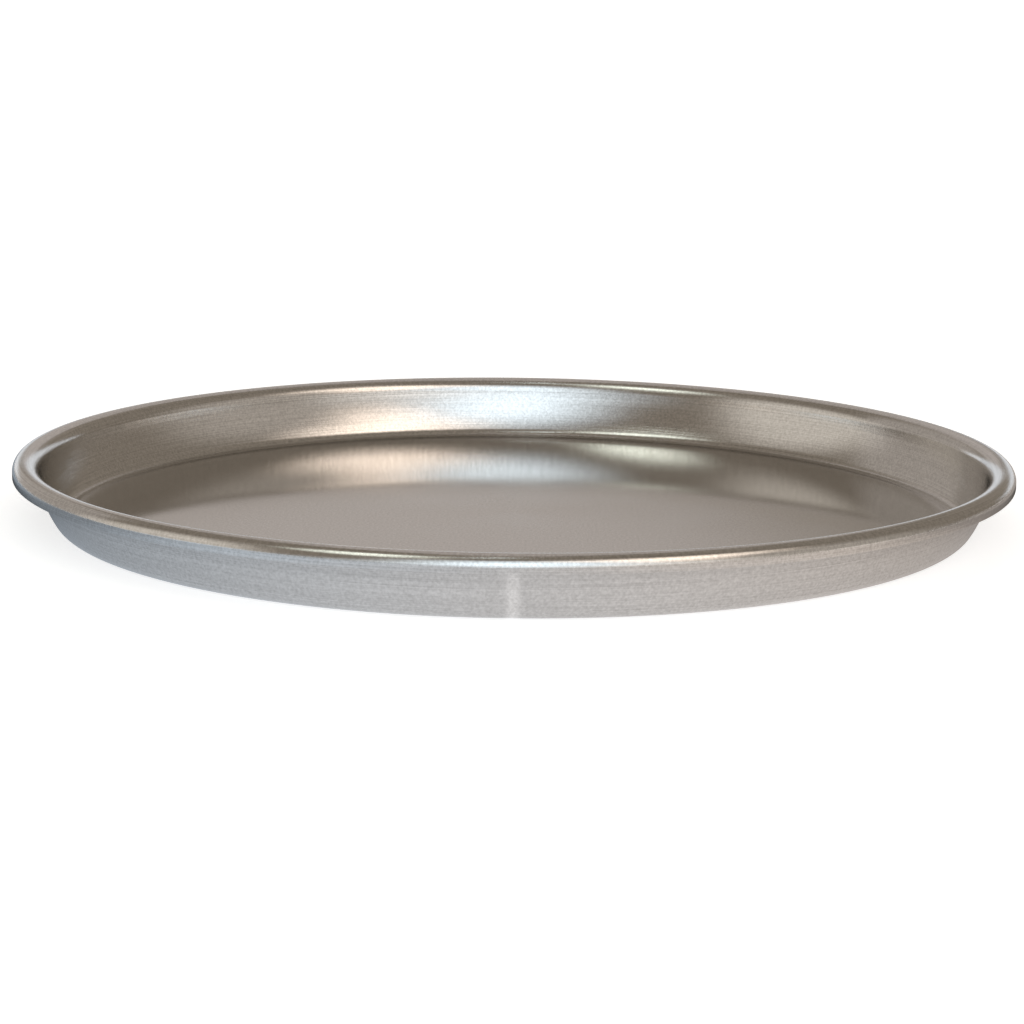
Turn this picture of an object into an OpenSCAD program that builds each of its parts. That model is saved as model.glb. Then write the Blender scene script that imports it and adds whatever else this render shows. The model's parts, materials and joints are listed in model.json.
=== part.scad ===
// Shallow round baking pan, spun from one disc of aluminium sheet.
// The sheet is followed from the centre of the base to the trimmed edge of the rim, as straight
// runs and bends of one constant thickness, and that section is turned about the pan's axis.
// Millimetres, +Z up, origin on the table under the pan's centre.

/* [Base] */
// Diameter of the flat base, where the corner bend starts
base_d = 342.2; // [150:0.1:500]
// Radius of the bend between base and wall, on the underside
corner_r = 7; // [3:0.5:9]

/* [Sheet] */
// Thickness of the aluminium sheet
sheet_t = 1; // [0.6:0.1:2]
// Radius that breaks both corners of the trimmed edge
edge_r = 0.25; // [0.1:0.05:0.25]

/* [Wall] */
// Height of the pan, from the table to the crest of the rim
pan_h = 25.4; // [22:0.1:60]
// Lean of the wall away from upright where it leaves the corner bend, in degrees
foot_lean = 31.7; // [20:0.1:40]
// Lean of the wall away from upright where it runs into the flare, in degrees
head_lean = 7.1; // [0:0.1:15]

/* [Rim] */
// Radius of the bend that flares the wall outwards, on the upper face
flare_r = 6; // [4:0.5:9]
// Radius of the bend that turns the rim down, on the upper face
turn_r = 4.2; // [2.5:0.1:6]
// Height of the straight lip that hangs below the turned-down bend
lip_h = 2.2; // [0.5:0.1:6]

/* [Hidden] */
$fn = 240;

// Angle between the base and an upright
upright = 90;
// Angles that the sheet turns through at the corner and along the bowed wall, towards upright
corner_turn = upright - foot_lean;
bow_turn = foot_lean - head_lean;
// Angle that it turns back through at the flare
flare_turn = upright - head_lean;

// Lap of each piece of the section over the one before it, too short to show
lap = sheet_t / 5000;

// Radius of the flat base
flat_r = base_d / 2;
// Height of the underside where the corner bend ends and the bowed wall starts
wall_foot_z = corner_r * (1 - sin(foot_lean));
// Height of the underside where the bowed wall ends and the flare starts
wall_head_z = pan_h - flare_r + (flare_r - sheet_t) * sin(head_lean);
// Radius of the bow, on the underside, which fills the height between those two
bow_r = (wall_head_z - wall_foot_z) / (sin(foot_lean) - sin(head_lean));
// Radius of the rim's crest, which is where the flare hands over to the turned-down bend
crest_r = flat_r + (corner_r - bow_r) * cos(foot_lean)
    + (bow_r + flare_r - sheet_t) * cos(head_lean);
// Diameter over the rim
rim_d = 2 * (crest_r + turn_r);

echo(str("Rim diameter ", rim_d, " mm, bow of the wall ", bow_r, " mm"));

// Each piece of the section starts at its own origin with the sheet running along +X, underside on
// y = 0 and upper face on y = sheet_t, and laps over the piece before it. It places its children
// where it ends, turned as it has turned.

// A straight run of sheet
module run(length) {
    translate([-lap, 0]) square([length + lap, sheet_t]);
    translate([length, 0]) children();
}

// Quarter of a ring or less, from straight below its centre round towards +X
module arc_of_sheet(outer_r, turn) {
    reach = 2 * outer_r;
    intersection() {
        difference() {
            circle(outer_r);
            circle(outer_r - sheet_t);
        }
        polygon([
            [0, 0],
            [-lap, 0],
            [-lap, -reach],
            [reach, -reach],
            [reach * sin(turn), -reach * cos(turn)]
        ]);
    }
}

// A bend towards the upper face, with outer_r on the underside
module bend_up(outer_r, turn) {
    translate([0, outer_r]) {
        arc_of_sheet(outer_r, turn);
        rotate(turn) translate([0, -outer_r]) children();
    }
}

// A bend towards the underside, with outer_r on the upper face
module bend_down(outer_r, turn) {
    translate([0, sheet_t - outer_r]) {
        mirror([0, 1]) arc_of_sheet(outer_r, turn);
        rotate(-turn) translate([0, outer_r - sheet_t]) children();
    }
}

// The trimmed edge, with both corners broken
module trimmed_edge() {
    for (y = [edge_r, sheet_t - edge_r]) {
        translate([0, y]) circle(edge_r);
    }
    translate([-lap, edge_r]) square([edge_r + lap, sheet_t - 2 * edge_r]);
}

// Section of the pan, from its axis outwards
module pan_section() {
    square([flat_r, sheet_t]);
    translate([flat_r, 0])
        bend_up(corner_r, corner_turn)
            bend_up(bow_r, bow_turn)
                bend_down(flare_r, flare_turn)
                    bend_down(turn_r, upright)
                        run(lip_h - edge_r)
                            trimmed_edge();
}

// The whole pan: base, wall, flared rim and turned-down lip are one sheet
module pan() {
    color("#aea8a1") rotate_extrude() pan_section();
}

pan();
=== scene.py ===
# %% [markdown]
# A shallow round baking pan, spun on a lathe from one disc of aluminium sheet.
#
# The real pan is one piece of metal about a millimetre thick. A spinner presses the turning disc
# over a former, so every part of it is round about one axis, and the tool leaves fine rings.
# Nothing on it is painted or coated: what the eye reads as its colour is what the metal reflects.
# So this lesson has three parts. The shape is one section turned about an axis, the finish is a
# satin metal with rings and grain, and the light is laid out for what the pan should mirror.

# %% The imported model
import json
import math

import bpy
from mathutils import Matrix, Vector
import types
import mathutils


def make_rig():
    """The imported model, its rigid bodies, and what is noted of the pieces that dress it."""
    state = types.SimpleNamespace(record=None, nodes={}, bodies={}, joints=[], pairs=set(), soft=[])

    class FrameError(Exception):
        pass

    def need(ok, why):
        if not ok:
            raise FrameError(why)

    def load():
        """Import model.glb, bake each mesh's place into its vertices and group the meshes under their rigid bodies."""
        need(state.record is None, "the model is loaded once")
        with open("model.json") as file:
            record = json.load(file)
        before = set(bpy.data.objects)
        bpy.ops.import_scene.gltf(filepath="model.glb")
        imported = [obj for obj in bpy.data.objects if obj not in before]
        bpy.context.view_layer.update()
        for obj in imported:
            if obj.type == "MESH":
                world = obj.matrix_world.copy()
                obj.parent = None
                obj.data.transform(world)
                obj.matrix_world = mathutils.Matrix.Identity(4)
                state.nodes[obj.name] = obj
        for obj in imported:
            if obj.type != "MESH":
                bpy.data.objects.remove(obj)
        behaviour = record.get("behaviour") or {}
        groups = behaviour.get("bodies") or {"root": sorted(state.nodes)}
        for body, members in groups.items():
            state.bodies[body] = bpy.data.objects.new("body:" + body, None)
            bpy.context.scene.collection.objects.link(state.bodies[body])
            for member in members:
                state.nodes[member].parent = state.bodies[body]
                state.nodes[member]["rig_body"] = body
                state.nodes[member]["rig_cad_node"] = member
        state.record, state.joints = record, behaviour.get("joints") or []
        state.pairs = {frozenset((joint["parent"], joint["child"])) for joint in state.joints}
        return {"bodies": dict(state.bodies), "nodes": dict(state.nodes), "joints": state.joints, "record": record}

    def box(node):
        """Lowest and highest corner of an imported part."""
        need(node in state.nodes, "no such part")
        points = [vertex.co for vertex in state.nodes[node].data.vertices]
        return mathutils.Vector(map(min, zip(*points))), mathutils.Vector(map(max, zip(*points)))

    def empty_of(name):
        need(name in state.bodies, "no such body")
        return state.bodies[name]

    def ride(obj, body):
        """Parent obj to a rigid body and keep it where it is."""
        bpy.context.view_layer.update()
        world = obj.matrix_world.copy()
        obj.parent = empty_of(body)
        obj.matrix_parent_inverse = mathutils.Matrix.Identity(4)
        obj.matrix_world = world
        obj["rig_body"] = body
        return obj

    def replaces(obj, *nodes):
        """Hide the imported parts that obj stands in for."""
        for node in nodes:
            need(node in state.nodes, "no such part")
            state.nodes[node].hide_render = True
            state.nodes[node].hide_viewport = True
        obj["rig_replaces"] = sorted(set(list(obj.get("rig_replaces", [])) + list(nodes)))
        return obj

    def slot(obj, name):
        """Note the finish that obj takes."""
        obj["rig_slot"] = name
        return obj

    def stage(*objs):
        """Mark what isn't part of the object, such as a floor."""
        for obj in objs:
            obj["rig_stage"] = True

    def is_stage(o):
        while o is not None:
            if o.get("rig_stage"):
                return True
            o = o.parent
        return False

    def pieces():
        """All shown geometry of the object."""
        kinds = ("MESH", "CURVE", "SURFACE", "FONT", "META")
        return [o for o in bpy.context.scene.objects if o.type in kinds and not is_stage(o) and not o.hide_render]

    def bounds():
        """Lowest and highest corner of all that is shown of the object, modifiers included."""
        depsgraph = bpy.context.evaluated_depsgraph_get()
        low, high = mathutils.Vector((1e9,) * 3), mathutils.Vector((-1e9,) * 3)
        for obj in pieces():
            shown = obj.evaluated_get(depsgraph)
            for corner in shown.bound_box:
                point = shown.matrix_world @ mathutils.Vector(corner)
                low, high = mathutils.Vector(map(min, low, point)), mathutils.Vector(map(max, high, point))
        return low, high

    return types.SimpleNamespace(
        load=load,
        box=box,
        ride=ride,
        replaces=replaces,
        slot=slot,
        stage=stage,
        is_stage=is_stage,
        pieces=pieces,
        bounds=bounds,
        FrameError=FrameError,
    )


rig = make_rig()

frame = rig.load()
cad_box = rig.bounds()
print("CAD box in mm:", [[round(1000 * v, 2) for v in corner] for corner in cad_box])

# %% [markdown]
# A scene's unit is the metre, so every size below is written in millimetres times MM. Colours are
# written as the hex codes that a screen shows, and one function turns a code into the linear light
# that a socket holds. Trees are built in the script, so a second function adds one node with its
# settings and its links.

# %% Units, colours and a helper for nodes
MM = 0.001


def linear(code):
    """Turns an sRGB hex value into the linear colour that a socket holds."""
    parts = [int(code[i:i + 2], 16) / 255 for i in (1, 3, 5)]
    return [v / 12.92 if v <= 0.04045 else ((v + 0.055) / 1.055) ** 2.4 for v in parts] + [1]


def add_node(tree, kind, inputs=None, **settings):
    """Adds one node. An input is a plain value, a socket to link from, or a node's first output."""
    node = tree.nodes.new(kind)
    for name, value in settings.items():
        setattr(node, name, value)
    for key, value in (inputs or {}).items():
        if isinstance(value, bpy.types.Node):
            value = value.outputs[0]
        if isinstance(value, bpy.types.NodeSocket):
            tree.links.new(value, node.inputs[key])
        else:
            node.inputs[key].default_value = value
    return node


print("Mid grey #808080 in linear light:", round(linear("#808080")[0], 3))

# %% [markdown]
# The camera is a long lens, low over the table, about a metre from the pan's centre. It stands on
# the -Y side and looks along +Y. Its place is given as a distance and an angle above the table,
# and three small turns say where the pan sits in the picture.

# %% Camera
LENS_MM, SENSOR_MM = 95.21, 36
CAMERA_DISTANCE = 1056.9 * MM
CAMERA_ELEVATION = math.radians(11.477)
AIM_DOWN, AIM_RIGHT, ROLL = math.radians(-0.045), math.radians(-0.036), math.radians(0.634)


def camera_turn(down, right, roll):
    """The camera's turn: its own X, Y and Z axes as columns, where it looks along its -Z."""
    forward = Vector((math.sin(right) * math.cos(down), math.cos(right) * math.cos(down), -math.sin(down)))
    level = Vector((math.cos(right), -math.sin(right), 0))
    above = level.cross(forward)
    across = math.cos(roll) * level + math.sin(roll) * above
    up = math.cos(roll) * above - math.sin(roll) * level
    return Matrix((across, up, -forward)).transposed()


camera = bpy.data.objects.new("camera", bpy.data.cameras.new("camera"))
camera.data.lens, camera.data.sensor_width = LENS_MM, SENSOR_MM
camera.matrix_world = camera_turn(CAMERA_ELEVATION + AIM_DOWN, AIM_RIGHT, ROLL).to_4x4()
camera.location = CAMERA_DISTANCE * Vector((0, -math.cos(CAMERA_ELEVATION), math.sin(CAMERA_ELEVATION)))
bpy.context.scene.collection.objects.link(camera)
bpy.context.scene.camera = camera
print("Camera at", [round(v, 4) for v in camera.location])

# %% [markdown]
# The pan's section is followed along the middle of the sheet, from the centre of the base to the
# trimmed edge of the rim. Sharp corners and bend radii say it all. At the first corner the flat
# base turns up into the wall. The wall isn't straight: it bows gently, which is one wide bend at
# the second corner. At the third it flares out, and at the fourth the rim turns down.

# %% Sizes of the section
low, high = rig.box("pan")
RIM_R, HEIGHT = high.x, high.z
SHEET = 1.0 * MM
HALF_SHEET = SHEET / 2
FLAT_R = 171.1 * MM
FOOT_LEAN, HEAD_LEAN = math.radians(31.7), math.radians(7.1)
CORNER_BEND, FLARE_BEND, TURN_BEND = 7 * MM, 6 * MM, 4.2 * MM
LIP_HEIGHT, EDGE_R = 2.2 * MM, 0.25 * MM
UPRIGHT = math.radians(90)


def reach(bend, turned):
    """How far a bend starts before its sharp corner, along the middle of the sheet."""
    return (bend - HALF_SHEET) * math.tan(turned / 2)


corner_r = FLAT_R + reach(CORNER_BEND, UPRIGHT - FOOT_LEAN)
shoulder_r = RIM_R - TURN_BEND - reach(FLARE_BEND, UPRIGHT - HEAD_LEAN)
lip_r = RIM_R - HALF_SHEET
lip_edge_z = HEIGHT - TURN_BEND - LIP_HEIGHT

# The bow's corner is where the wall's line at its foot meets its line at its head
foot_slope, head_slope = math.tan(FOOT_LEAN), math.tan(HEAD_LEAN)
bow_rise = (shoulder_r - corner_r - (HEIGHT - SHEET) * head_slope) / (foot_slope - head_slope)
bow_r, bow_z = corner_r + bow_rise * foot_slope, bow_rise + HALF_SHEET
# The bow fills the wall from the corner bend on, all but a gap that keeps the two bends apart
BOW_GAP = 0.01 * MM
foot_run = bow_rise / math.cos(FOOT_LEAN) - reach(CORNER_BEND, UPRIGHT - FOOT_LEAN) - BOW_GAP
WALL_BOW = foot_run / math.tan((FOOT_LEAN - HEAD_LEAN) / 2)
print("Rim diameter and height in mm:", round(2 * RIM_R / MM, 2), round(HEIGHT / MM, 2))
print("Radius of the wall's bow in mm:", round(WALL_BOW / MM, 2))

# %% [markdown]
# Geometry Nodes turn that section into the pan, because a spun shape follows one rule all round:
# a change of one size remakes the whole rim. The tree's inputs are the sizes above and the number
# of steps in a bend and round the axis.

# %% The tree and its inputs
SIZES = {
    "Corner Radius": corner_r, "Bow Radius": bow_r, "Bow Height": bow_z,
    "Shoulder Radius": shoulder_r, "Height": HEIGHT - HALF_SHEET,
    "Lip Radius": lip_r, "Lip Edge Height": lip_edge_z,
    "Corner Bend": CORNER_BEND - HALF_SHEET, "Wall Bow": WALL_BOW,
    "Flare Bend": FLARE_BEND - HALF_SHEET, "Turn Bend": TURN_BEND - HALF_SHEET,
    "Half Thickness": HALF_SHEET, "Edge Rounding": EDGE_R,
    "Longest Step": 6 * MM, "Seam Gap": 0.001 * MM,
}
COUNTS = {"Bend Steps": 24, "Edge Steps": 5, "Round Steps": 360}

sheet = bpy.data.node_groups.new("spun_sheet", "GeometryNodeTree")
for name in SIZES:
    sheet.interface.new_socket(name, in_out="INPUT", socket_type="NodeSocketFloat")
for name in COUNTS:
    sheet.interface.new_socket(name, in_out="INPUT", socket_type="NodeSocketInt")
sheet.interface.new_socket("Finish", in_out="INPUT", socket_type="NodeSocketMaterial")
sheet.interface.new_socket("Geometry", in_out="OUTPUT", socket_type="NodeSocketGeometry")
size = add_node(sheet, "NodeGroupInput").outputs
print("Inputs:", ", ".join(socket.name for socket in size if socket.name))

# %% [markdown]
# First the bent line. A plain line of seven points is moved to the section's corners, and Fillet
# Curve rounds each one with its own radius. Index Switch is what gives each point its own value.

# %% The middle of the sheet as a bent line
middle = size["Half Thickness"]
edge_start = add_node(sheet, "ShaderNodeMath",
                      {0: size["Lip Edge Height"], 1: size["Edge Rounding"]}, operation="ADD")
corners = [
    (0.0, middle), (size["Corner Radius"], middle), (size["Bow Radius"], size["Bow Height"]),
    (size["Shoulder Radius"], size["Height"]), (size["Lip Radius"], size["Height"]),
    (size["Lip Radius"], edge_start), (size["Lip Radius"], size["Lip Edge Height"]),
]
bent = size["Bend Steps"]
by_corner = {
    "VECTOR": [add_node(sheet, "ShaderNodeCombineXYZ", {"X": x, "Z": z}) for x, z in corners],
    "FLOAT": [0.0, size["Corner Bend"], size["Wall Bow"], size["Flare Bend"], size["Turn Bend"], 0.0, 0.0],
    "INT": [0, bent, bent, bent, bent, 0, 0],
}
index = add_node(sheet, "GeometryNodeInputIndex")
chosen = {}
for kind, values in by_corner.items():
    switch = add_node(sheet, "GeometryNodeIndexSwitch", data_type=kind)
    for _ in values[2:]:
        switch.index_switch_items.new()
    sheet.links.new(index.outputs[0], switch.inputs["Index"])
    for i, value in enumerate(values):
        value = value.outputs[0] if isinstance(value, bpy.types.Node) else value
        if isinstance(value, bpy.types.NodeSocket):
            sheet.links.new(value, switch.inputs[str(i)])
        else:
            switch.inputs[str(i)].default_value = value
    chosen[kind] = switch

line = add_node(sheet, "GeometryNodeMeshLine", {"Count": len(corners)})
line = add_node(sheet, "GeometryNodeMeshToCurve", {"Mesh": line})
line = add_node(sheet, "GeometryNodeSetPosition", {"Geometry": line, "Position": chosen["VECTOR"]})
line = add_node(sheet, "GeometryNodeFilletCurve",
                {"Curve": line, "Count": chosen["INT"], "Radius": chosen["FLOAT"], "Limit Radius": False},
                mode="POLY")
print("Corners of the section:", len(corners))

# %% [markdown]
# Long stretches are then cut into steps, so that the shading stays smooth, and the last one, the
# rounded edge, into fine ones. Half the thickness is known at each point of the line. It is even
# all along the sheet and shrinks over the last quarter of a millimetre like the side of a circle.

# %% Steps along the line, and half the thickness at each
place = add_node(sheet, "GeometryNodeInputPosition")
next_index = add_node(sheet, "ShaderNodeMath", {0: index, 1: 1.0}, operation="ADD")
next_place = add_node(sheet, "GeometryNodeFieldAtIndex", {"Value": place, "Index": next_index},
                      data_type="FLOAT_VECTOR")
gap = add_node(sheet, "ShaderNodeVectorMath", {0: next_place, 1: place}, operation="DISTANCE")
steps = add_node(sheet, "ShaderNodeMath", {0: gap.outputs["Value"], 1: size["Longest Step"]},
                 operation="DIVIDE")
steps = add_node(sheet, "ShaderNodeMath", {0: steps}, operation="FLOOR")
count = add_node(sheet, "GeometryNodeAttributeDomainSize", {"Geometry": line}, component="CURVE")
last = add_node(sheet, "ShaderNodeMath", {0: count.outputs["Point Count"], 1: 2.0}, operation="SUBTRACT")
at_edge = add_node(sheet, "ShaderNodeMath", {0: index, 1: last, 2: 0.5}, operation="COMPARE")
fine = add_node(sheet, "ShaderNodeMath", {0: at_edge, 1: size["Edge Steps"]}, operation="MULTIPLY")
steps = add_node(sheet, "ShaderNodeMath", {0: steps, 1: fine}, operation="MAXIMUM")
line = add_node(sheet, "GeometryNodeSubdivideCurve", {"Curve": line, "Cuts": steps})

spline = add_node(sheet, "GeometryNodeSplineParameter")
whole = add_node(sheet, "GeometryNodeSplineLength")
to_end = add_node(sheet, "ShaderNodeMath", {0: whole.outputs["Length"], 1: spline.outputs["Length"]},
                  operation="SUBTRACT")
past = add_node(sheet, "ShaderNodeMath", {0: size["Edge Rounding"], 1: to_end}, operation="SUBTRACT")
past = add_node(sheet, "ShaderNodeMath", {0: past, 1: 0.0}, operation="MAXIMUM")
past = add_node(sheet, "ShaderNodeMath", {0: past, 1: 2.0}, operation="POWER")
rise = add_node(sheet, "ShaderNodeMath", {0: size["Edge Rounding"], 1: 2.0}, operation="POWER")
rise = add_node(sheet, "ShaderNodeMath", {0: rise, 1: past}, operation="SUBTRACT")
rise = add_node(sheet, "ShaderNodeMath", {0: rise, 1: 0.0}, operation="MAXIMUM")
rise = add_node(sheet, "ShaderNodeMath", {0: rise}, operation="SQRT")
half = add_node(sheet, "ShaderNodeMath", {0: middle, 1: size["Edge Rounding"]}, operation="SUBTRACT")
half = add_node(sheet, "ShaderNodeMath", {0: half, 1: rise}, operation="ADD")
print("Nodes so far:", len(sheet.nodes))

# %% [markdown]
# A flat grid is laid along that line. Each column of the grid runs down the underside of the
# section and back over its upper face, half the thickness to each side, and the columns go round
# the axis. The distance along the sheet is kept as an attribute, since the spinning marks follow
# it. Merging the doubled points closes the seam, the two poles and the trimmed edge.

# %% A grid wrapped along the line and round the axis
total = add_node(sheet, "GeometryNodeAttributeDomainSize", {"Geometry": line}, component="CURVE")
rows = add_node(sheet, "ShaderNodeMath", {0: total.outputs["Point Count"], 1: 2.0}, operation="MULTIPLY")
columns = add_node(sheet, "ShaderNodeMath", {0: size["Round Steps"], 1: 1.0}, operation="ADD")
grid = add_node(sheet, "GeometryNodeMeshGrid", {"Vertices X": columns, "Vertices Y": rows})

row = add_node(sheet, "ShaderNodeMath", {0: index, 1: rows}, operation="MODULO")
column = add_node(sheet, "ShaderNodeMath", {0: index, 1: 0.5}, operation="ADD")
column = add_node(sheet, "ShaderNodeMath", {0: column, 1: rows}, operation="DIVIDE")
column = add_node(sheet, "ShaderNodeMath", {0: column}, operation="FLOOR")
turn = add_node(sheet, "ShaderNodeMath", {0: column, 1: size["Round Steps"]}, operation="DIVIDE")
turn = add_node(sheet, "ShaderNodeMath", {0: turn, 1: 2 * math.pi}, operation="MULTIPLY")
last_row = add_node(sheet, "ShaderNodeMath", {0: rows, 1: 1.0}, operation="SUBTRACT")
back = add_node(sheet, "ShaderNodeMath", {0: last_row, 1: row}, operation="SUBTRACT")
along = add_node(sheet, "ShaderNodeMath", {0: row, 1: back}, operation="MINIMUM")
side = add_node(sheet, "ShaderNodeMath", {0: row, 1: back}, operation="GREATER_THAN")
side = add_node(sheet, "ShaderNodeMath", {0: side, 1: 2.0, 2: -1.0}, operation="MULTIPLY_ADD")

on_line = {"place": ("FLOAT_VECTOR", place), "length": ("FLOAT", spline.outputs["Length"]),
           "half": ("FLOAT", half), "tangent": ("FLOAT_VECTOR", add_node(sheet, "GeometryNodeInputTangent"))}
for name, (kind, value) in on_line.items():
    on_line[name] = add_node(sheet, "GeometryNodeSampleIndex",
                             {"Geometry": line, "Value": value, "Index": along}, data_type=kind)

outward = add_node(sheet, "ShaderNodeVectorMath", {0: on_line["tangent"], 1: (0.0, 1.0, 0.0)},
                   operation="CROSS_PRODUCT")
outset = add_node(sheet, "ShaderNodeMath", {0: side, 1: on_line["half"]}, operation="MULTIPLY")
shift = add_node(sheet, "ShaderNodeVectorMath", {0: outward, "Scale": outset}, operation="SCALE")
spot = add_node(sheet, "ShaderNodeVectorMath", {0: on_line["place"], 1: shift}, operation="ADD")
spot = add_node(sheet, "ShaderNodeVectorRotate", {"Vector": spot, "Angle": turn}, rotation_type="Z_AXIS")

mesh = add_node(sheet, "GeometryNodeSetPosition", {"Geometry": grid, "Position": spot})
mesh = add_node(sheet, "GeometryNodeStoreNamedAttribute",
                {"Geometry": mesh, "Name": "along_sheet", "Value": on_line["length"]},
                data_type="FLOAT", domain="POINT")
mesh = add_node(sheet, "GeometryNodeMergeByDistance", {"Geometry": mesh, "Distance": size["Seam Gap"]})
mesh = add_node(sheet, "GeometryNodeSetShadeSmooth", {"Geometry": mesh, "Shade Smooth": True})
mesh = add_node(sheet, "GeometryNodeRealizeInstances", {"Geometry": mesh})
mesh = add_node(sheet, "GeometryNodeSetMaterial", {"Geometry": mesh, "Material": size["Finish"]})
add_node(sheet, "NodeGroupOutput", {"Geometry": mesh})
print("Nodes in the tree:", len(sheet.nodes))

# %% [markdown]
# The finish is bare aluminium, rolled smooth as a sheet and then spun. The floor keeps the rolled
# face, so it mirrors the far wall almost clearly. Where the tool pressed the metal over the former
# it is duller: the wall and rim have rings a millimetre or two apart, and the stretched metal has
# the fine pebbling that fitters call orange peel. Brushed one way round, it blurs more across
# the rings than along them, which draws each highlight out into a streak.
#
# First come the two things that every mark is placed by: the place in the pan, and the distance
# along the sheet. From that distance comes a share of how far the metal was worked.

# %% Spun satin aluminium: where each point lies
FLOOR_END, WORKED_FROM = FLAT_R - 2 * MM, FLAT_R + 4 * MM

aluminium = bpy.data.materials.new("spun_satin_aluminium")
aluminium.use_nodes = True
metal = aluminium.node_tree
shader = metal.nodes["Principled BSDF"]
spot_in_pan = add_node(metal, "ShaderNodeTexCoord").outputs["Object"]
distance = add_node(metal, "ShaderNodeAttribute", attribute_name="along_sheet").outputs["Fac"]
worked = add_node(metal, "ShaderNodeMapRange",
                  {"Value": distance, "From Min": FLOOR_END, "From Max": WORKED_FROM},
                  interpolation_type="SMOOTHSTEP")
print("Worked metal starts at", round(WORKED_FROM / MM, 1), "mm along the sheet")

# %% [markdown]
# The rings are noise that changes quickly along the sheet and slowly round it. Four-dimensional
# noise does that: its fourth value is the distance along the sheet over the spacing of the rings,
# and the other three are the place in the pan over the length that one mark keeps its depth.
# The rolled grain is really much finer than a millimetre. It is drawn this coarse so that it shows.

# %% Rings and grain
RING_STEP, FINE_RING_STEP, RING_FADE = 1.3 * MM, 0.5 * MM, 90 * MM
PEEL_GRAIN, ROLLED_GRAIN = 1.5 * MM, 1.0 * MM
# Noise seldom goes past these two values, so they are taken as its lowest and its highest
NOISE_LOW, NOISE_HIGH = 0.3, 0.7

marks = {}
for name, step in (("rings", RING_STEP), ("fine rings", FINE_RING_STEP)):
    steps_along = add_node(metal, "ShaderNodeMath", {0: distance, 1: 1 / step}, operation="MULTIPLY")
    marks[name] = add_node(metal, "ShaderNodeTexNoise",
                           {"Vector": spot_in_pan, "W": steps_along, "Scale": 1 / RING_FADE, "Detail": 1.0},
                           noise_dimensions="4D")
for name, grain in (("peel", PEEL_GRAIN), ("rolled", ROLLED_GRAIN)):
    marks[name] = add_node(metal, "ShaderNodeTexNoise",
                           {"Vector": spot_in_pan, "Scale": 1 / grain, "Detail": 1.0})
print("Marks:", ", ".join(marks))

# %% [markdown]
# Every mark becomes a height, and one Bump node tilts the shading by it. The base has a height of
# its own as well. Thin sheet is never dead flat, and this floor rises a little towards its centre.
# The rise is too small to see as a shape, but it draws out what the floor mirrors of the wall.

# %% Depth of the marks, in millimetres
DEPTHS = {"rings": 0.020, "fine rings": 0.005, "peel": 0.010}
ROLLED_DEPTH = 0.003
CROWN_RADIUS = 9000 * MM

# A very wide sphere falls away with the square of the distance from the axis
level = add_node(metal, "ShaderNodeVectorMath", {0: spot_in_pan, 1: (1.0, 1.0, 0.0)},
                 operation="MULTIPLY")
square = add_node(metal, "ShaderNodeVectorMath", {0: level, 1: level},
                  operation="DOT_PRODUCT").outputs["Value"]
square = add_node(metal, "ShaderNodeMath", {0: square, 1: FLAT_R ** 2}, operation="MINIMUM")
crown = add_node(metal, "ShaderNodeMath", {0: square, 1: -1 / (2 * CROWN_RADIUS * MM)},
                 operation="MULTIPLY")
depth = add_node(metal, "ShaderNodeMath", {0: marks["rolled"], 1: ROLLED_DEPTH, 2: crown},
                 operation="MULTIPLY_ADD")
for name, deep in DEPTHS.items():
    mark = add_node(metal, "ShaderNodeMath", {0: worked, 1: deep}, operation="MULTIPLY")
    depth = add_node(metal, "ShaderNodeMath", {0: marks[name], 1: mark, 2: depth}, operation="MULTIPLY_ADD")
bump = add_node(metal, "ShaderNodeBump", {"Height": depth, "Distance": MM, "Strength": 1.0})
metal.links.new(bump.outputs[0], shader.inputs["Normal"])
print("Deepest mark in mm:", max(DEPTHS.values()))

# %% [markdown]
# The colour of bare aluminium is a slightly warm grey, and a used pan reflects less than a polished
# one, because its grain and oxide scatter some of the light. Each ring that the tool left is a hair
# lighter or darker than its neighbours, so the same marks move the colour up and down between a
# dull grey and a bright one.

# %% Colour of the metal, lighter and darker with its marks
DULL, BRIGHT = "#B4B1AD", "#DBD8D4"
HALFWAY = 0.5
TONES = {"rings": 0.34, "fine rings": 0.22, "peel": 0.1, "rolled": 0.24}

brightness = HALFWAY
for name, share in TONES.items():
    swing = add_node(metal, "ShaderNodeMapRange",
                     {"Value": marks[name], "From Min": NOISE_LOW, "From Max": NOISE_HIGH,
                      "To Min": -share, "To Max": share})
    if name != "rolled":
        swing = add_node(metal, "ShaderNodeMath", {0: swing, 1: worked}, operation="MULTIPLY")
    brightness = add_node(metal, "ShaderNodeMath", {0: brightness, 1: swing}, operation="ADD")
bare_metal = add_node(metal, "ShaderNodeMix", {"Factor": brightness, 6: linear(DULL), 7: linear(BRIGHT)},
                      data_type="RGBA")
metal.links.new(bare_metal.outputs[2], shader.inputs["Base Color"])
print("Colour between", DULL, "and", BRIGHT)

# %% [markdown]
# The blur of what the metal mirrors is its roughness. The rolled floor is the clearer of the two.
# Hands, washing and baking leave faint hazy patches, so a slow noise moves the roughness a little
# up and down. The shader's own tangent runs round the axis, and a quarter of a turn lays the wider
# blur across the rings.

# %% Roughness, and the metal itself
FLOOR_ROUGHNESS, WORKED_ROUGHNESS = 0.095, 0.13
HAZE_PATCH, HAZE_SHARE = 45 * MM, 0.22
BRUSHED_SHARE, QUARTER_TURN = 0.4, 0.25

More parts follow.
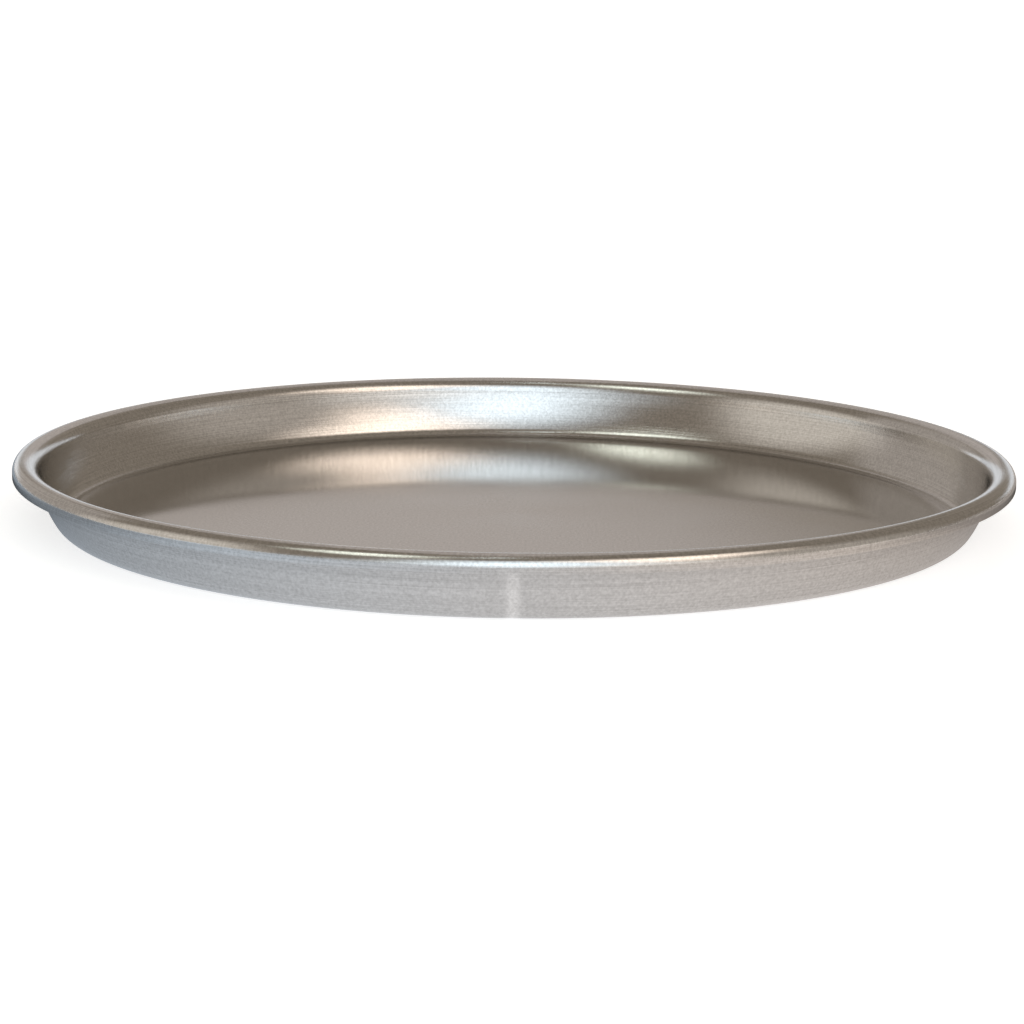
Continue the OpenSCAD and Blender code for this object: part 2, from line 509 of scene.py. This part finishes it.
shader.inputs["Metallic"].default_value = 1
shader.inputs["Anisotropic"].default_value = BRUSHED_SHARE
shader.inputs["Anisotropic Rotation"].default_value = QUARTER_TURN
tangent = add_node(metal, "ShaderNodeTangent", direction_type="RADIAL", axis="Z")
metal.links.new(tangent.outputs[0], shader.inputs["Tangent"])
rough = add_node(metal, "ShaderNodeMapRange",
                 {"Value": worked, "To Min": FLOOR_ROUGHNESS, "To Max": WORKED_ROUGHNESS})
haze = add_node(metal, "ShaderNodeTexNoise", {"Vector": spot_in_pan, "Scale": 1 / HAZE_PATCH, "Detail": 4.0})
haze = add_node(metal, "ShaderNodeMapRange",
                {"Value": haze, "From Min": NOISE_LOW, "From Max": NOISE_HIGH,
                 "To Min": 1 - HAZE_SHARE, "To Max": 1 + HAZE_SHARE})
rough = add_node(metal, "ShaderNodeMath", {0: rough, 1: haze}, operation="MULTIPLY")
metal.links.new(rough.outputs[0], shader.inputs["Roughness"])
print("Roughness of floor and wall:", FLOOR_ROUGHNESS, WORKED_ROUGHNESS)

# %% [markdown]
# The tree now gets its inputs by their identifiers and makes the pan. The result is kept as a
# plain mesh of its own, and the object that carried the modifier goes, so nothing is made twice.
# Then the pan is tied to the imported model: it rides on the root body, wears the pan's slot and
# takes the place of the plain solid.

# %% The pan
maker = bpy.data.objects.new("pan_maker", bpy.data.meshes.new("pan_maker"))
bpy.context.scene.collection.objects.link(maker)
modifier = maker.modifiers.new("spun_sheet", "NODES")
modifier.node_group = sheet
for item in sheet.interface.items_tree:
    if item.in_out == "INPUT":
        modifier[item.identifier] = {**SIZES, **COUNTS, "Finish": aluminium}[item.name]

evaluated = maker.evaluated_get(bpy.context.evaluated_depsgraph_get())
pan = bpy.data.objects.new("spun_pan", bpy.data.meshes.new_from_object(evaluated))
bpy.context.scene.collection.objects.link(pan)
bpy.data.objects.remove(maker)
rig.ride(pan, "root")
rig.slot(pan, "spun_aluminium")
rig.replaces(pan, "pan")
print("Pan faces:", len(pan.data.polygons))

# %% [markdown]
# Two flat discs lie under the pan, a white floor and a glowing card of painted light and shade, each
# a fraction of a millimetre lower than the base so that no two faces fight. Both are only stage, and
# both are clear from below, so that the pan's underside can be looked at.

# %% A disc of the stage
DISC_SIDES = 128


def stage_disc(name, radius, gap, finish):
    """Makes one disc under the pan, with an empty material. Returns the disc and the node tree."""
    bpy.ops.mesh.primitive_circle_add(vertices=DISC_SIDES, radius=radius, fill_type="NGON")
    disc = bpy.context.object
    disc.name = name
    disc.location.z = -gap
    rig.stage(disc)
    material = bpy.data.materials.new(finish)
    material.use_nodes = True
    material.node_tree.nodes.clear()
    disc.data.materials.append(material)
    return disc, material.node_tree


def finish_from_above(tree, surface):
    """Ends a disc's material: its surface seen from above, and nothing seen from below."""
    below = add_node(tree, "ShaderNodeNewGeometry").outputs["Backfacing"]
    clear = add_node(tree, "ShaderNodeBsdfTransparent")
    either = add_node(tree, "ShaderNodeMixShader", {0: below, 1: surface, 2: clear})
    add_node(tree, "ShaderNodeOutputMaterial", {"Surface": either})


print("Sides of a disc:", DISC_SIDES)

# %% [markdown]
# The floor is so wide that its far edge stays above the picture. It is matt white, and for rays
# from the camera and from mirrors it also gives off light of its own, so that it shows near white
# and the pan's soft shadow stays on it.

# %% Floor
FLOOR_R, FLOOR_GAP = 60, 0.2 * MM
FLOOR_WHITE, FLOOR_GLOW = 0.8, 0.66

floor, table = stage_disc("floor", FLOOR_R, FLOOR_GAP, "matt_white_floor")
seen = add_node(table, "ShaderNodeLightPath").outputs
direct = add_node(table, "ShaderNodeMath", {0: seen["Is Camera Ray"], 1: seen["Is Glossy Ray"]},
                  operation="MAXIMUM")
direct = add_node(table, "ShaderNodeMath", {0: direct, 1: seen["Is Transmission Ray"]},
                  operation="MAXIMUM")
glow = add_node(table, "ShaderNodeMath", {0: direct, 1: FLOOR_GLOW}, operation="MULTIPLY")
glow = add_node(table, "ShaderNodeEmission", {"Color": linear("#FFFFFF"), "Strength": glow})
matt = add_node(table, "ShaderNodeBsdfDiffuse", {"Color": (FLOOR_WHITE, FLOOR_WHITE, FLOOR_WHITE, 1)})
finish_from_above(table, add_node(table, "ShaderNodeAddShader", {0: matt, 1: glow}))
print("Floor radius in m:", FLOOR_R)

# %% [markdown]
# On a white floor the outside of a metal pan mirrors nothing but white and loses its form. So a card
# lies round the pan where only mirrors see it. It is no real card: it glows with painted light and
# shade, so that the pan's outer wall shows a painted reflection of a lit table, and no shadow falls on it.

# %% Glowing card round the pan, painted light and shade seen only in the metal
CARD_R, CARD_GAP = 1.6, 0.1 * MM
# The card's painted light is brightest towards the camera, all but this turn towards +X
CARD_TURN = math.radians(4)

card, card_glow = stage_disc("painted_reflection_card", CARD_R, CARD_GAP, "painted_reflection_glow")
# Hidden from the camera, from diffuse light and from shadows, the card shows only as a painted reflection in the metal
card.visible_camera = card.visible_diffuse = card.visible_shadow = False
card.visible_transmission = card.visible_volume_scatter = False

on_card = add_node(card_glow, "ShaderNodeTexCoord").outputs["Object"]
across = add_node(card_glow, "ShaderNodeSeparateXYZ", {0: on_card}).outputs["X"]
from_axis = add_node(card_glow, "ShaderNodeVectorMath", {0: on_card}, operation="LENGTH").outputs["Value"]
light_side = (math.sin(CARD_TURN), -math.cos(CARD_TURN), 0)
to_light = add_node(card_glow, "ShaderNodeVectorMath", {0: on_card, 1: light_side},
                    operation="DOT_PRODUCT").outputs["Value"]
print("Card radius in m:", CARD_R)

# %% [markdown]
# The card's painted light is bright in front and falls off to both sides, so that the outer wall mirrors
# painted shade to its left and right. Behind the pan it is a middle grey. Where the rim hangs over it
# the card is a little lighter than beside it, a painted dark band just outside the rim that the wall
# mirrors as shade under the rim. Further out it is never quite dark, so that the rim's own edge keeps
# some painted light. The fall to the sides is even and the rest are soft steps. Behind and further
# out, the lighter of the two tones counts.

# %% Painted light and shade of the card
CARD_LIGHT, CARD_DARK, LIGHT_END, DARK_END = 0.95, 0.02, 204 * MM, -50 * MM
FOOT_SHARE, RIM_SHARE, FOOT_END, RIM_START = 1.07, 0.92, 188 * MM, 202 * MM
OUTER_TONE, OUTER_START, OUTER_END = 0.4, 212 * MM, 262 * MM
BACK_TONE, BACK_START, BACK_END = 0.42, -80 * MM, -150 * MM

tone = add_node(card_glow, "ShaderNodeMapRange",
                {"Value": to_light, "From Min": DARK_END, "From Max": LIGHT_END,
                 "To Min": CARD_DARK, "To Max": CARD_LIGHT})
# Painted shade: a darker band just outside the rim, lighter where the rim hangs over the card
painted_rim_shade = add_node(card_glow, "ShaderNodeMapRange",
                     {"Value": from_axis, "From Min": FOOT_END, "From Max": RIM_START,
                      "To Min": FOOT_SHARE, "To Max": RIM_SHARE}, interpolation_type="SMOOTHSTEP")
tone = add_node(card_glow, "ShaderNodeMath", {0: tone, 1: painted_rim_shade}, operation="MULTIPLY")
further_out = add_node(card_glow, "ShaderNodeMapRange",
                       {"Value": from_axis, "From Min": OUTER_START, "From Max": OUTER_END,
                        "To Min": 0.0, "To Max": OUTER_TONE}, interpolation_type="SMOOTHSTEP")
behind = add_node(card_glow, "ShaderNodeMapRange",
                  {"Value": to_light, "From Min": BACK_START, "From Max": BACK_END,
                   "To Min": 0.0, "To Max": BACK_TONE}, interpolation_type="SMOOTHSTEP")
for least in (further_out, behind):
    tone = add_node(card_glow, "ShaderNodeMath", {0: tone, 1: least}, operation="MAXIMUM")
print("Tone of the card from", CARD_DARK, "to", CARD_LIGHT)

# %% [markdown]
# A narrow strip of painted light straight in front of the pan gives the wall its one upright streak,
# a painted highlight. The painted daylight on the card's left is bluer than the painted lamplight on its right.

# %% Painted streak and painted light colour of the card
PAINTED_STREAK, PAINTED_STREAK_WIDTH = 0.30, 4 * MM
PAINTED_DAYLIGHT, PAINTED_LAMPLIGHT, COLOUR_REACH = "#E2F0FF", "#FFF4EC", 200 * MM

aside = add_node(card_glow, "ShaderNodeMath", {0: across}, operation="ABSOLUTE")
strip = add_node(card_glow, "ShaderNodeMapRange",
                 {"Value": aside, "From Min": 0.0, "From Max": PAINTED_STREAK_WIDTH,
                  "To Min": PAINTED_STREAK, "To Max": 0.0}, interpolation_type="SMOOTHSTEP")
in_front = add_node(card_glow, "ShaderNodeMath", {0: to_light, 1: 0.0}, operation="GREATER_THAN")
strip = add_node(card_glow, "ShaderNodeMath", {0: strip, 1: in_front}, operation="MULTIPLY")
tone = add_node(card_glow, "ShaderNodeMath", {0: tone, 1: strip}, operation="ADD")
to_right = add_node(card_glow, "ShaderNodeMapRange",
                    {"Value": across, "From Min": -COLOUR_REACH, "From Max": COLOUR_REACH})
painted_light_colour = add_node(card_glow, "ShaderNodeMix", {"Factor": to_right, 6: linear(PAINTED_DAYLIGHT), 7: linear(PAINTED_LAMPLIGHT)},
                 data_type="RGBA")
# The card glows with this painted light itself. No lamp lights it
painted_glow = add_node(card_glow, "ShaderNodeEmission", {"Color": painted_light_colour.outputs[2], "Strength": tone})
finish_from_above(card_glow, painted_glow)
print("Colour of the card from", PAINTED_DAYLIGHT, "to", PAINTED_LAMPLIGHT)

# %% [markdown]
# The studio is the world. A metal pan shows little of its own, so the light is laid out as the
# room that it mirrors: a dim warm room with soft bright places. Each has a direction, given as
# degrees round from the camera's side towards +X and degrees above the table, half its width and
# half its height in degrees, the share of it that is evenly bright, its strength and its colour.

# %% Soft lights of the room
ROOM_LEVEL, ROOM_COLOUR = 0.289, "#FFF0DE"
LIGHTS = {
    # name: (round, up, half width, half height, even share, strength, colour)
    "window": (-12, 7, 40, 16, 0.05, 1.03, "#DEF0FF"),
    "window head": (3, 28, 42, 37, 0.00, 2.08, "#DDF0FF"),
    "lit curtain": (38, 30, 20, 14, 0.40, 1.17, "#FFEFE2"),
    "curtain foot": (30, 8, 33, 13, 0.09, 0.91, "#FFFFFF"),
    "ceiling glow": (44, 48, 48, 18, 0.00, 2.40, "#FFF0E3"),
    "skylight": (-54, 63, 33, 20, 0.02, 2.15, "#F5FFF6"),
    "high lamp": (-26, 84, 23, 7, 0.29, 2.15, "#EFFEFF"),
    "left wall": (-82, 2, 35, 53, 0.43, 0.54, "#FFFCF6"),
    "left corner": (-133, 5, 33, 39, 0.74, 0.19, "#FFFDFF"),
    "right wall": (69, 13, 47, 38, 0.37, 0.23, "#FFFBF7"),
    "far wall": (-184, 4, 39, 6, 0.78, 0.64, "#E5F1FF"),
    "far ceiling": (-177, 44, 23, 39, 0.80, 0.25, "#FEFAFF"),
}
print("Soft lights:", len(LIGHTS))

# %% [markdown]
# In the world's tree each direction is turned into those two angles. A light's share of strength
# is full in its even middle and falls softly to nothing at its edge, and all the lights are added
# on top of the dim room. The degrees have a join where 180 meets -180, so the room is turned to
# bring that join to its plain right side.

# %% The room as a world
JOIN_TURN = math.radians(60)

world = bpy.data.worlds.new("studio")
world.use_nodes = True
bpy.context.scene.world = world
room = world.node_tree
room.nodes.clear()
way = add_node(room, "ShaderNodeTexCoord").outputs["Generated"]
turned = add_node(room, "ShaderNodeVectorRotate", {"Vector": way, "Angle": JOIN_TURN},
                  rotation_type="Z_AXIS")
part = add_node(room, "ShaderNodeSeparateXYZ", {0: turned}).outputs
toward = add_node(room, "ShaderNodeMath", {0: part["Y"], 1: -1.0}, operation="MULTIPLY")
azimuth = add_node(room, "ShaderNodeMath", {0: part["X"], 1: toward}, operation="ARCTAN2")
height = add_node(room, "ShaderNodeMath", {0: part["Z"]}, operation="ARCSINE")
angles = add_node(room, "ShaderNodeCombineXYZ", {"X": azimuth, "Y": height})

light = [ROOM_LEVEL * v for v in linear(ROOM_COLOUR)[:3]]
for name, (azi, up, wide, tall, even, strength, code) in LIGHTS.items():
    centre = (math.radians(azi) + JOIN_TURN, math.radians(up), 0)
    spread = (math.radians(wide), math.radians(tall), 1)
    near = add_node(room, "ShaderNodeMapping", {"Vector": angles, "Location": centre, "Scale": spread},
                    vector_type="TEXTURE", label=name)
    far = add_node(room, "ShaderNodeVectorMath", {0: near}, operation="LENGTH").outputs["Value"]
    share = add_node(room, "ShaderNodeMapRange", {"Value": far, "From Min": 1.0, "From Max": even},
                     interpolation_type="SMOOTHSTEP")
    colour = [strength * v for v in linear(code)[:3]]
    part_of_it = add_node(room, "ShaderNodeVectorMath", {0: colour, "Scale": share}, operation="SCALE")
    light = add_node(room, "ShaderNodeVectorMath", {0: light, 1: part_of_it}, operation="ADD")
sky = add_node(room, "ShaderNodeBackground", {"Color": light, "Strength": 1.0})
add_node(room, "ShaderNodeOutputWorld", {"Surface": sky})
print("Nodes in the room:", len(room.nodes))

# %% [markdown]
# Last, the view transform is set to Standard, so that a colour shows as it is written. The sizes
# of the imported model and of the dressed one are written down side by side, to see that the pan
# still fits its own box.

# %% Hand-over
bpy.context.scene.view_settings.view_transform = "Standard"
with open("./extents.json", "w") as f:
    json.dump({"cad": [list(v) for v in cad_box], "visual": [list(v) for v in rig.bounds()]}, f)
print(open("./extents.json").read())
